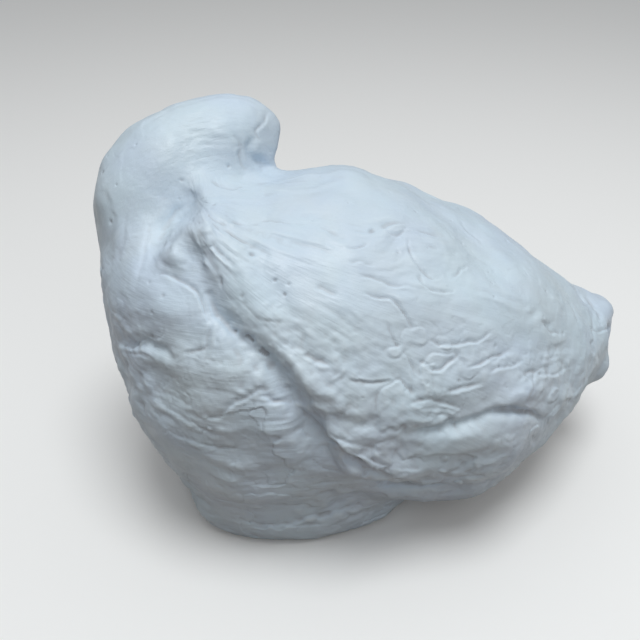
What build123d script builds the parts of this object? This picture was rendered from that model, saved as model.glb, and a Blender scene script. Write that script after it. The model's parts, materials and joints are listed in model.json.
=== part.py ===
from build123d import *
from math import copysign, cos, pi, sin
import os

# A hand-built plaster bird at rest: wire armature, paper core, plaster bandage, plaster coats.
# +X runs to the tail, -Y to the near side, +Z up; the origin is the middle of the resting face.

# Driving sizes of the whole figure, in millimetres
figure_length = 200.0
figure_depth = 120.0
figure_height = 150.0

# Driving sizes of the neck, of the foot, of the two lumps on the tail and of the wings' folds
neck_width = 56.0
foot_length = 98.0
foot_depth = 94.0
foot_height = 40.0
nub_width = 17.0
fold_radius = 8.0
fold_depth = 1.0

# Layers from the outside in, and the play between them
coat_thickness = 6.0
bandage_thickness = 1.8
layer_clearance = 0.3
seam_gap = 0.2

# Armature wires, their bends and the sleeves of thin wire that bind them
spine_diameter = 3.2
branch_diameter = 2.0
wire_clearance = 0.15
spine_bend_radius = 15.0
branch_bend_radius = 6.0
binding_length = 14.0
binding_thickness = 1.0

# Points round one section, and the one that it starts from, away from wires and wing edges
section_points = 12
section_start = 8

# Sections of the body, square to X: place along the length, across the depth and up the height;
# then reach to the near side, far side, up and down; and how square the lower half is.
body_section_shares = [
    (-0.350, 0.015, 0.520, 0.080, 0.080, 0.080, 0.080, 1.00),
    (-0.325, 0.015, 0.505, 0.210, 0.210, 0.190, 0.215, 1.00),
    (-0.255, 0.000, 0.465, 0.360, 0.350, 0.320, 0.360, 1.00),
    (-0.120, 0.000, 0.425, 0.475, 0.435, 0.415, 0.375, 0.90),
    (0.040, 0.000, 0.415, 0.500, 0.450, 0.425, 0.340, 0.78),
    (0.200, 0.000, 0.400, 0.510, 0.450, 0.395, 0.355, 0.60),
    (0.350, 0.000, 0.400, 0.465, 0.395, 0.300, 0.352, 0.60),
    (0.490, 0.000, 0.380, 0.290, 0.260, 0.195, 0.215, 0.75),
    (0.590, 0.000, 0.365, 0.160, 0.140, 0.095, 0.125, 1.00),
    (0.630, 0.000, 0.360, 0.090, 0.085, 0.055, 0.075, 1.00),
]
body_middle_shares = (0.14, 0.0, 0.40)

# Sections of the outer form that both wings and the tail lie in, given in the same way
wing_section_shares = [
    (-0.240, 0.000, 0.455, 0.385, 0.375, 0.345, 0.385, 1.00),
    (-0.120, 0.000, 0.425, 0.500, 0.480, 0.440, 0.410, 1.00),
    (0.050, 0.000, 0.415, 0.560, 0.530, 0.443, 0.400, 0.90),
    (0.210, 0.000, 0.405, 0.565, 0.535, 0.400, 0.370, 0.80),
    (0.350, 0.000, 0.385, 0.520, 0.490, 0.333, 0.340, 0.88),
    (0.480, 0.000, 0.360, 0.375, 0.360, 0.247, 0.240, 1.00),
    (0.580, 0.000, 0.365, 0.230, 0.215, 0.130, 0.180, 1.00),
    (0.635, 0.000, 0.375, 0.135, 0.125, 0.080, 0.100, 1.00),
    (0.660, 0.000, 0.375, 0.085, 0.085, 0.055, 0.065, 1.00),
]

# Edge of a wing seen from the side: places along the length and up the height
wing_edge_shares = [
    (-0.170, 0.880), (-0.150, 0.775), (-0.100, 0.675), (-0.040, 0.575), (-0.010, 0.440),
    (0.040, 0.335), (0.120, 0.280), (0.260, 0.225), (0.390, 0.175), (0.520, 0.135),
    (0.640, 0.225), (0.710, 0.400), (0.500, 0.790), (0.220, 1.000), (-0.090, 1.015),
]
tail_seam_share = 0.55

# Folds pressed in each wing, seen from the side: places along the length and up the height
wing_fold_shares = [
    ((-0.115, 0.815), (-0.080, 0.750), (-0.035, 0.665)),
    ((0.040, 0.760), (0.095, 0.715), (0.130, 0.655)),
    ((0.165, 0.810), (0.160, 0.755), (0.215, 0.725)),
    ((0.130, 0.620), (0.185, 0.590), (0.255, 0.625)),
    ((0.095, 0.440), (0.140, 0.456), (0.195, 0.466), (0.250, 0.467), (0.300, 0.460)),
]

# Sections of the neck, head and bill stand like a fan round the bend of the neck, whose axis
# runs along Y: turn in degrees from upright, distance from the axis, place across the depth,
# then reach to the near side, far side, outside and inside
neck_bend_shares = (-0.070, 0.0, 0.627)
neck_fan_shares = (0.28, 0.0, 0.373)
neck_section_shares = [
    (-138, 0.620, 0.100, 0.460, 0.480, 0.300, 0.460),
    (-78, 0.590, 0.150, 0.465, 0.480, 0.410, 0.465),
    (-46, 0.640, 0.190, 0.445, 0.465, 0.510, 0.480),
    (-20, 0.630, 0.225, 0.390, 0.430, 0.450, 0.500),
    (-1, 0.660, 0.250, 0.310, 0.320, 0.350, 0.400),
    (11, 0.670, 0.260, 0.205, 0.205, 0.225, 0.225),
    (18, 0.660, 0.260, 0.125, 0.125, 0.120, 0.105),
]
root_overrun_turn = 6
head_section = 2
bill_section = 4

# Sections of the foot, as shares of its height, depth and length: place, then reach to the
# near side, far side, breast and tail
foot_section_shares = [
    (0.00, 0.500, 0.480, 0.515, 0.500),
    (0.20, 0.525, 0.510, 0.550, 0.530),
    (0.60, 0.520, 0.515, 0.560, 0.540),
    (1.00, 0.450, 0.490, 0.500, 0.480),
]
foot_roundness_share = 0.88

# Lumps pressed on the tail: middle in the figure, and reach along X, Y and Z
upper_nub_shares = ((0.640, 0.000, 0.405), (0.47, 0.53, 0.35))
lower_nub_shares = ((0.610, -0.115, 0.290), (0.50, 0.50, 0.47))

# Where the coats of the body part, along the length and up the height
breast_seam_share = -0.06
belly_seam_share = 0.42

# Route of the spine wire: level through the body, then up the neck into the bill
spine_height_share = 0.40
spine_shares = [
    (0.500, 0.000, spine_height_share), (-0.180, 0.000, spine_height_share),
    (-0.225, 0.150, 0.700), (-0.140, 0.225, 0.840), (-0.045, 0.257, 0.880),
]

# Branch wires: where each starts beside the spine, turns off it and ends
wing_wire_start_share = -0.02
wing_wire_turn_share = 0.12
wing_wire_end_share = 0.34
left_wire_side_shares = (-0.545, -0.500)
right_wire_side_shares = (0.490, 0.440)
wing_binding_share = 0.035
foot_wire_start_share = 0.30
foot_wire_turn_share = 0.17
foot_wire_end_share = 0.00
foot_wire_height_share = 0.030
foot_binding_share = 0.24


# Point of the figure
def place(shares):
    x, y, z = shares
    return Vector(x * figure_length, y * figure_depth, z * figure_height)


# Closed smooth section, square to its heading, with its top towards the upright
def section(centre, heading, upright, reach, low_power=1.0, high_power=1.0):
    near, far, rise, drop = reach
    side = heading.cross(upright).normalized()
    top = side.cross(heading).normalized()
    points = []
    for step in range(section_start, section_start + section_points):
        across = cos(2 * pi * step / section_points)
        above = sin(2 * pi * step / section_points)
        power = high_power if above > 0 else low_power
        out_side = copysign(abs(across) ** power, across) * (near if across > 0 else far)
        out_top = copysign(abs(above) ** power, above) * (rise if above > 0 else drop)
        points.append(centre + side * out_side + top * out_top)
    even_steps = list(range(section_points + 1))
    return Face(Wire([Edge.make_spline(points, periodic=True, parameters=even_steps)]))


# Form through sections square to X, for the body and for the wings
def long_form(rows):
    faces = []
    for x, y, z, near, far, rise, drop, power in rows:
        reach = (near * figure_depth, far * figure_depth, rise * figure_height, drop * figure_height)
        faces.append(section(place((x, y, z)), Vector(1, 0, 0), Vector(0, 0, 1), reach, power))
    return loft(faces)


# The same form larger or smaller all round, by a distance that is true at its sides
def resized(form, distance):
    factor = 1 + 2 * distance / figure_depth
    return Pos(place(body_middle_shares) * (1 - factor)) * scale(form, by=factor)


# Middle and heading of one section of the neck
def neck_station(number, more_turn=0):
    turn, distance, across = neck_section_shares[number][:3]
    way = Vector(0, 0, distance).rotate(Axis.Y, turn + more_turn)
    fan_x, _, fan_z = neck_fan_shares
    outward = place((way.X * fan_x, 0, way.Z * fan_z))
    middle = place(neck_bend_shares) + outward + Vector(0, across * figure_depth, 0)
    return middle, Vector(0, 1, 0).cross(outward).normalized()


# Neck, head and bill in one form, or its first sections only, thicker by a distance all round
def neck_form(distance=0, last=len(neck_section_shares)):
    faces = []
    for number in range(last):
        middle, heading = neck_station(number)
        reach = [share * (neck_width + 2 * distance) for share in neck_section_shares[number][3:]]
        faces.append(section(middle, heading, heading.cross(Vector(0, 1, 0)), reach))
    return loft(faces)


# The same form with a shorter root, for what the whole form is cut from
def neck_part(distance=0, last=len(neck_section_shares)):
    root, way = neck_station(0, root_overrun_turn)
    return neck_form(distance, last) & past(root, way)


def foot_form():
    faces = []
    for height, near, far, breast, tail in foot_section_shares:
        centre = Vector(0, 0, height * foot_height)
        reach = (near * foot_depth, far * foot_depth, breast * foot_length, tail * foot_length)
        faces.append(section(centre, Vector(0, 0, 1), Vector(-1, 0, 0), reach,
                             foot_roundness_share, foot_roundness_share))
    return loft(faces)


# Block that holds everything past a point in a direction
def past(point, direction):
    reach = 2 * (figure_length + figure_depth + figure_height)
    return Plane(origin=point, z_dir=direction) * Pos(0, 0, reach / 2) * Box(reach, reach, reach)


def tube(points, diameter, bend_radius):
    path = FilletPolyline(*points, radius=bend_radius)
    return sweep(Plane(origin=path @ 0, z_dir=path % 0) * Circle(diameter / 2), path=path)


# Wires; with play, each is the room that it needs in what it passes through
def spine_wire(play=0):
    points = [place(shares) for shares in spine_shares]
    return tube(points, spine_diameter + 2 * play, spine_bend_radius)


# Distance from the spine's middle to a branch wire's, where they lie side by side
def branch_offset():
    return (spine_diameter + branch_diameter) / 2 + wire_clearance


# Lies beside the spine, turns out through the body and back along the wing
def wing_wire(side_shares, play=0):
    height = spine_height_share * figure_height
    beside = copysign(branch_offset(), side_shares[0])
    turn = wing_wire_turn_share * figure_length
    points = [
        Vector(wing_wire_start_share * figure_length, beside, height),
        Vector(turn, beside, height),
        Vector(turn, side_shares[0] * figure_depth, height),
        Vector(wing_wire_end_share * figure_length, side_shares[1] * figure_depth, height),
    ]
    return tube(points, branch_diameter + 2 * play, branch_bend_radius)


# Lies under the spine, drops into the foot and turns along it
def foot_wire(play=0):
    under = spine_height_share * figure_height - branch_offset()
    low = foot_wire_height_share * figure_height
    turn = foot_wire_turn_share * figure_length
    points = [
        Vector(foot_wire_start_share * figure_length, 0, under),
        Vector(turn, 0, under),
        Vector(turn, 0, low),
        Vector(foot_wire_end_share * figure_length, 0, low),
    ]
    return tube(points, branch_diameter + 2 * play, branch_bend_radius)


# Bar along X with an oval section, long in one direction
def oval_bar(middle, long_way, short_way, direction):
    lay = Plane(origin=middle, x_dir=direction, z_dir=(1, 0, 0))
    return extrude(lay * SlotOverall(long_way, short_way), amount=binding_length / 2, both=True)


# Sleeve of thin wire wound round parallel wires, or with play the room that it needs
def binding(middle, long_way, direction, play):
    short_way = spine_diameter + 2 * wire_clearance
    wall = 2 * (binding_thickness + play)
    bar = oval_bar(middle, long_way + wall, short_way + wall, direction)
    return bar if play else bar - oval_bar(middle, long_way, short_way, direction)


def wing_binding(play=0):
    middle = place((wing_binding_share, 0, spine_height_share))
    long_way = spine_diameter + 2 * branch_diameter + 4 * wire_clearance
    return binding(middle, long_way, Vector(0, 1, 0), play)


def foot_binding(play=0):
    below = Vector(0, 0, (branch_diameter + wire_clearance) / 2)
    middle = place((foot_binding_share, 0, spine_height_share)) - below
    long_way = spine_diameter + branch_diameter + 3 * wire_clearance
    return binding(middle, long_way, Vector(0, 0, 1), play)


# Point of a wing's skin, moved out of it by a distance
def on_wing(shares, side, distance):
    x, z = shares
    line = Axis(Vector(x * figure_length, 0, z * figure_height), Vector(0, side, 0))
    found = [hit for hit in wings.find_intersection_points(line) if hit[0].Y * side > 0]
    point, normal = found[0]
    return point + normal * copysign(distance, normal.Y * side)


# Round bar that presses a fold in a wing, clear of the skin at both ends
def fold(line, side):
    lifts = [fold_radius] + [fold_radius - fold_depth] * (len(line) - 2) + [fold_radius]
    points = [on_wing(shares, side, lift) for shares, lift in zip(line, lifts)]
    path = Spline(*points)
    return sweep(Plane(origin=path @ 0, z_dir=path % 0) * Circle(fold_radius), path=path)


# One wing: the outer form over the body, within its edge and on its own side
def wing(side):
    edge = [Vector(x * figure_length, 0, z * figure_height) for x, z in wing_edge_shares]
    outline = Face(Wire([Edge.make_spline(edge, periodic=True)]))
    slab = Pos(0, side * seam_gap / 2, 0) * extrude(outline, amount=figure_depth, dir=(0, side, 0))
    front = past(tail_seam - Vector(seam_gap, 0, 0), Vector(-1, 0, 0))
    folds = [fold(line, side) for line in wing_fold_shares]
    return (wings & slab & front) - body_room - neck_room - folds


# Ellipsoid pressed on the tail, cut to the tail's skin
def nub(shares):
    middle, reach_shares = shares
    lump = scale(Sphere(nub_width), by=tuple(reach_shares))
    return Pos(place(middle)) * lump - resized(wings, layer_clearance)


body = long_form(body_section_shares)
wings = long_form(wing_section_shares)
neck = neck_part()
body_room = resized(body, layer_clearance)
neck_room = neck_form(layer_clearance)
tail_seam = Vector(tail_seam_share * figure_length, 0, 0)

# How deep the bandage and the core lie under the skin
bandage_depth = coat_thickness + layer_clearance
core_depth = bandage_depth + bandage_thickness + layer_clearance

# Coats of the body, between the skin and the bandage
breast_seam = Vector(breast_seam_share * figure_length, 0, 0)
belly_seam = Vector(0, 0, belly_seam_share * figure_height)
along, up, gap = Vector(1, 0, 0), Vector(0, 0, 1), seam_gap / 2
body_coat = body - resized(body, -coat_thickness) - neck_room
rear_coat = body_coat & past(breast_seam + along * gap, along)

# Coats of the neck and head, down to the bandage of the body
neck_coat = neck - neck_form(-coat_thickness, bill_section + 1)
neck_coat -= resized(body, layer_clearance - bandage_depth)
head_seam, head_way = neck_station(head_section)
bill_seam, bill_way = neck_station(bill_section)
head_and_bill = neck_coat & past(head_seam + head_way * gap, head_way)

# Bandage of the neck, which stands on the paper core of the body
neck_bandage = neck_part(-bandage_depth, bill_section + 1)
neck_bandage -= neck_form(layer_clearance - core_depth, bill_section + 1)
core_room = resized(body, layer_clearance - core_depth)
neck_bandage_room = neck_form(layer_clearance - bandage_depth, bill_section + 1)
body_bandage = resized(body, -bandage_depth) - core_room

# Each piece, and the room that wires need in it
spine_room = spine_wire(wire_clearance)
left_room = wing_wire(left_wire_side_shares, wire_clearance)
right_room = wing_wire(right_wire_side_shares, wire_clearance)
ground_room = foot_wire(wire_clearance)
branch_rooms = [left_room, right_room, ground_room]
binding_rooms = [wing_binding(wire_clearance), foot_binding(wire_clearance)]
pieces = {
    "foot_pad": foot_form() - body_room - ground_room,
    "breast_coat": body_coat & past(breast_seam - along * gap, -along),
    "back_coat": (rear_coat & past(belly_seam + up * gap, up)) - left_room - right_room,
    "belly_coat": (rear_coat & past(belly_seam - up * gap, -up)) - branch_rooms,
    "left_wing": wing(-1) - left_room,
    "right_wing": wing(1) - right_room,
    "tail_tip": (wings & past(tail_seam, along)) - body_room,
    "tail_nub_upper": nub(upper_nub_shares),
    "tail_nub_lower": nub(lower_nub_shares),
    "neck_coat": neck_coat & past(head_seam - head_way * gap, -head_way),
    "head_coat": head_and_bill & past(bill_seam - bill_way * gap, -bill_way),
    "bill": (head_and_bill & past(bill_seam + bill_way * gap, bill_way)) - spine_room,
    "body_bandage": body_bandage - neck_bandage_room - branch_rooms,
    "neck_bandage": neck_bandage - core_room,
    "body_core": resized(body, -core_depth) - spine_room - branch_rooms - binding_rooms,
    "neck_core": neck_part(-core_depth, bill_section + 1) - core_room - spine_room,
    "spine_wire": spine_wire(),
    "left_wing_wire": wing_wire(left_wire_side_shares),
    "right_wing_wire": wing_wire(right_wire_side_shares),
    "foot_wire": foot_wire(),
    "wing_binding": wing_binding(),
    "foot_binding": foot_binding(),
}

os.makedirs("parts", exist_ok=True)
for name, piece in pieces.items():
    print(name, [round(solid.volume) for solid in piece.solids()])
    export_step(piece, f"parts/{name}.step")
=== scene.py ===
import bpy
import bmesh
import json
import numpy as np
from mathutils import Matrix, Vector
from mathutils.bvhtree import BVHTree
from mathutils.kdtree import KDTree


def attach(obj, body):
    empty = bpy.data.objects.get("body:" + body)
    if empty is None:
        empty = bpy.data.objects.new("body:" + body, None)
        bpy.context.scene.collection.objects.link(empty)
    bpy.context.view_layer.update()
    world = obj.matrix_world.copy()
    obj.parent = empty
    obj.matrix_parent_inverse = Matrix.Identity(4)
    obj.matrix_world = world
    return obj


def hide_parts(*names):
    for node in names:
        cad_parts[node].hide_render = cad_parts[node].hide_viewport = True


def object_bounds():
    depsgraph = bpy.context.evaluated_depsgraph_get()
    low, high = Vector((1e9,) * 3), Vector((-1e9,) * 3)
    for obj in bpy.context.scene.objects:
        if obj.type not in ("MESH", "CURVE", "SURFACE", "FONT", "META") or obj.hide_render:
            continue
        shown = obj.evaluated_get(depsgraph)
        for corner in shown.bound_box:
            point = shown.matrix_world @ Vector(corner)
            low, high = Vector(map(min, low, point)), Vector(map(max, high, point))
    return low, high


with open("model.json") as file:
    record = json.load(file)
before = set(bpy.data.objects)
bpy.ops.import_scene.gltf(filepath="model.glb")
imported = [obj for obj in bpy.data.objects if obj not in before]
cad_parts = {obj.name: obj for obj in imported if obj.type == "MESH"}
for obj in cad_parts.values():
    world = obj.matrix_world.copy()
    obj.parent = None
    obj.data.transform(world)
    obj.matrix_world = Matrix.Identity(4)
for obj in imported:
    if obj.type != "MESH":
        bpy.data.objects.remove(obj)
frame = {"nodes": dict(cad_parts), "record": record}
nodes = frame["nodes"]
cadLow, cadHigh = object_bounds()
mm = 0.001
keyStep = 1 << 32    # joins the numbers of two points in one key
print("frame loaded,", len(nodes), "nodes")

# where the photograph was taken from, and the size of its picture in pixels
photoCamera = {
    "place": (-0.0379, -0.2205, 0.2178),
    "look": (0.174, 0.820, -0.545),
    "lens": 38.6,
    "sensor": 36.0,
    "frame": 640,
    "pixel": 0.37,      # size of a pixel on the figure, in millimetres
    "clip": (0.01, 20),
}


def unit(vectors):
    vectors = np.asarray(vectors, float)
    return vectors / np.maximum(np.linalg.norm(vectors, axis=-1, keepdims=True), 1e-12)


def ease(low, high, value):
    share = np.clip((value - low) / (high - low), 0, 1)
    return share * share * (3 - 2 * share)


noiseCode = {"steps": (73856093, 19349663, 83492791), "seed": 2654435761, "gain": 1.5,
             "mixes": ((13, 1274126177), (16, 668265263)), "kept": 0x7FFFFFFF, "levels": 0xFFFF}


def softNoise(points, seed):  # smooth noise from -1 to 1
    cells = np.floor(points).astype(np.int64)
    inside = points - cells
    inside = inside * inside * inside * (inside * (inside * 6 - 15) + 10)
    total = np.zeros(len(points))
    for corner in range(8):
        offset = np.array([corner & 1, corner >> 1 & 1, corner >> 2 & 1])
        across, along, up = ((cells + offset) * noiseCode["steps"]).T
        code = across ^ along ^ up ^ (seed * noiseCode["seed"])
        for shift, factor in noiseCode["mixes"]:
            code = (code ^ (code >> shift)) * factor & noiseCode["kept"]
        value = (code & noiseCode["levels"]) / (noiseCode["levels"] / 2) - 1
        total += value * np.prod(np.where(offset, inside, 1 - inside), axis=1)
    return total * noiseCode["gain"]


def patches(points, reach, seed):  # soft noise in the figure, its reach in millimetres
    return softNoise(points / (reach * mm), seed)


def warp(points, reach, seeds):
    return np.stack([patches(points, reach, seed) for seed in seeds], axis=1)


def nearTo(points, place, reach, edge=1.0):  # 1 at a place in the figure, fading with distance
    away = np.linalg.norm(points / mm - np.array(place), axis=1) / reach
    return np.exp(-away ** 2 * edge)


def photoPlace(points):  # place in the photograph's frame, in pixels from its upper left
    look = unit(photoCamera["look"])
    side = unit(np.cross(look, (0, 0, 1)))
    up = np.cross(side, look)
    away = points - np.array(photoCamera["place"])
    scale = photoCamera["lens"] / photoCamera["sensor"] * photoCamera["frame"] / (away @ look)
    half = photoCamera["frame"] / 2
    return half + scale * (away @ side), half - scale * (away @ up)


def nearSidePlace(points):  # the same, with the far side mirrored to the near one
    x, y, z = points.T
    return photoPlace(np.stack([x, -np.abs(y), z], axis=1))


def faceNormals(points, faces):
    across = points[faces[:, 2]] - points[faces[:, 0]]
    down = points[faces[:, 3]] - points[faces[:, 1]]
    return np.cross(across, down)


def gather(index, values, size):
    return np.stack([np.bincount(index, column, size) for column in values.T], axis=1)


def pointNormals(points, faces):
    flat = faceNormals(points, faces)
    return unit(gather(faces.ravel(), np.repeat(flat, 4, axis=0), len(points)))


def edgesOf(faces):  # each edge once, and for each face the numbers of its four edges
    pairs = np.stack([faces, np.roll(faces, -1, axis=1)], axis=2).reshape(-1, 2)
    keys = np.sort(pairs, axis=1)
    found, number = np.unique(keys[:, 0] * keyStep + keys[:, 1], return_inverse=True)
    return np.stack(np.divmod(found, keyStep), axis=1), number.reshape(-1, 4)


def pointShare(faceValues, faces, size):  # mean over the faces round each point
    total = np.bincount(faces.ravel(), np.repeat(faceValues, 4), size)
    return total / np.maximum(np.bincount(faces.ravel(), minlength=size), 1)


def pull(points, edges, size):  # way from each point to the middle of its neighbours
    both = np.concatenate([edges, edges[:, ::-1]])
    total = gather(both[:, 0], points[both[:, 1]], size)
    count = np.bincount(both[:, 0], minlength=size)
    return total / np.maximum(count, 1)[:, None] - points


def blurred(values, edges, rounds, share=0.7):
    for _ in range(rounds):
        values = values + pull(values, edges, len(values)) * share
    return values


def split(points, faces, values):  # one round of Catmull-Clark; values ride along
    edges, number = edgesOf(faces)
    size, edgeCount = len(points), len(edges)
    allPoints = np.concatenate([points, values], axis=1)
    middle = allPoints[faces].mean(axis=1)
    aside = gather(number.ravel(), np.repeat(middle, 4, axis=0), edgeCount)
    sides = np.bincount(number.ravel(), minlength=edgeCount)[:, None]
    ends = allPoints[edges]
    edgePoints = (ends.sum(axis=1) + aside * 2 / np.maximum(sides, 1)) / 4
    around = np.bincount(faces.ravel(), minlength=size)[:, None]
    faceMean = gather(faces.ravel(), np.repeat(middle, 4, axis=0), size) / np.maximum(around, 1)
    valence = np.bincount(edges.ravel(), minlength=size)[:, None]
    halfWay = np.repeat(ends.mean(axis=1), 2, axis=0)
    edgeMean = gather(edges.ravel(), halfWay, size) / np.maximum(valence, 1)
    moved = (faceMean + 2 * edgeMean + (valence - 3) * allPoints) / np.maximum(valence, 1)
    everything = np.concatenate([moved, edgePoints, middle])
    edgeIndex = number + size
    centre = (np.arange(len(faces)) + size + edgeCount)[:, None].repeat(4, axis=1)
    small = np.stack([faces, edgeIndex, centre, np.roll(edgeIndex, 1, axis=1)], axis=2)
    return everything[:, :3], small.reshape(-1, 4), everything[:, 3:], edges


# Each piece of the plaster skin has its thickness in millimetres, how soft its forms are, and the
# way that hand and brush went over it. Folds and spots lie where the photograph shows them, in
# pixels. A fold is its half width in pixels, depth and lip in millimetres, and its line, with the
# lip on the right hand side. A spot is its place and half sizes in pixels, and its height in
# millimetres. A dent is a place in the figure, its reach and its depth, all in millimetres. What
# has a depth below zero stands out.
footPad = {
    "thick": 4.0, "soft": 1.0, "brush": "level",
    "folds": {
        "low crease": (6, 0.6, 0.2, [(318, 452), (300, 464), (258, 476), (216, 468), (186, 446)]),
        "foot waist": (9, -1.3, 0.0, [(176, 476), (200, 488), (236, 496), (280, 498), (330, 490)]),
        "foot ridge": (7, -0.7, 0.0, [(206, 500), (236, 522), (276, 536)]),
        "foot crease": (4, 0.9, 0.4, [(282, 524), (310, 518), (336, 510), (360, 504)]),
        "foot end": (4, 1.1, 0.5, [(378, 506), (366, 514), (342, 512)]),
        "keel wrinkle": (3, 0.5, 0.3, [(236, 518), (262, 526), (290, 522)]),
        "keel wrinkle high": (3, 0.4, 0.3, [(214, 496), (240, 506), (268, 504), (300, 508)]),
    },
    "spots": {
        "foot bump": (262, 512, 12, 7, 0.6),
        "foot bump back": (318, 498, 12, 6, 0.5),
    },
    "dents": {
        "front corner": ((-53.0, -18.0, 11.0), 17.0, 3.6),
        "far corner": ((-50.0, 22.0, 10.0), 15.0, 2.4),
    },
}
breastCoat = {
    "thick": 4.0, "soft": 1.0, "brush": "level",
    "folds": {
        "breast crease": (3, 0.7, 0.3, [
            (157, 277), (162, 274), (180, 280), (195, 290), (204, 304), (210, 322)]),
        "round the bump": (3, 0.7, 0.3, [
            (210, 324), (206, 338), (207, 347), (198, 353), (186, 354)]),
        "dimple": (8, 1.9, 0.3, [(112, 338), (128, 346), (146, 346), (170, 358)]),
        "dimple wrinkle": (2.6, 0.6, 0.4, [(114, 335), (123, 347), (135, 347), (144, 339)]),
        "dimple wrinkle low": (2.6, 0.5, 0.4, [(154, 360), (140, 352), (126, 354)]),
        "hollow below": (13, 1.3, 0.0, [(140, 366), (160, 384), (186, 402)]),
        "side bump": (13, -0.8, 0.0, [(128, 310), (160, 308), (192, 318)]),
        "thumb bump": (16, -1.1, 0.0, [(198, 358), (218, 362), (240, 372)]),
        "middle crease": (4, 0.7, 0.4, [
            (190, 414), (216, 420), (234, 401), (252, 395), (264, 389)]),
        "crease by the wing": (5, 0.9, 0.4, [(262, 396), (276, 400), (292, 402)]),
        "ridge by the wing": (7, -0.8, 0.0, [(250, 384), (268, 384), (284, 394)]),
        "breast fold": (4, 0.6, 0.4, [(158, 402), (176, 410), (200, 430), (228, 440)]),
        "breast fold low": (3, 0.5, 0.3, [(166, 430), (190, 442), (222, 450), (250, 446)]),
    },
    "spots": {
        "shoulder bump": (178, 262, 12, 10, 0.8),
        "neck bump": (160, 292, 12, 9, 0.5),
        "low bump": (226, 432, 14, 8, 0.7),
        "low bump back": (268, 430, 13, 8, 0.6),
        "front bump": (142, 388, 9, 12, 0.5),
        "pinhole": (236, 330, 2.0, 2.0, -0.7),
    },
    "dents": {
        "waist of the neck": ((-68.0, 4.0, 104.0), 16.0, -2.6),
    },
}
bellyCoat = {
    "thick": 4.0, "soft": 1.0, "brush": "level",
    "folds": {
        "underside ridge": (6, -0.7, 0.0, [(372, 496), (410, 500), (440, 496), (484, 488)]),
        "underside fold": (3.5, 0.8, 0.4, [(478, 476), (440, 482), (396, 484), (352, 478)]),
    },
    "spots": {
        "belly bump": (506, 444, 12, 8, 0.9),
        "belly bump low": (484, 470, 10, 6, 0.6),
        "belly bump front": (452, 452, 9, 7, 0.5),
        "ring under the tail": (570, 398, 8, 8, 0.9),
        "pit in the ring": (569, 401, 3, 3, -0.8),
    },
}
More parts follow.
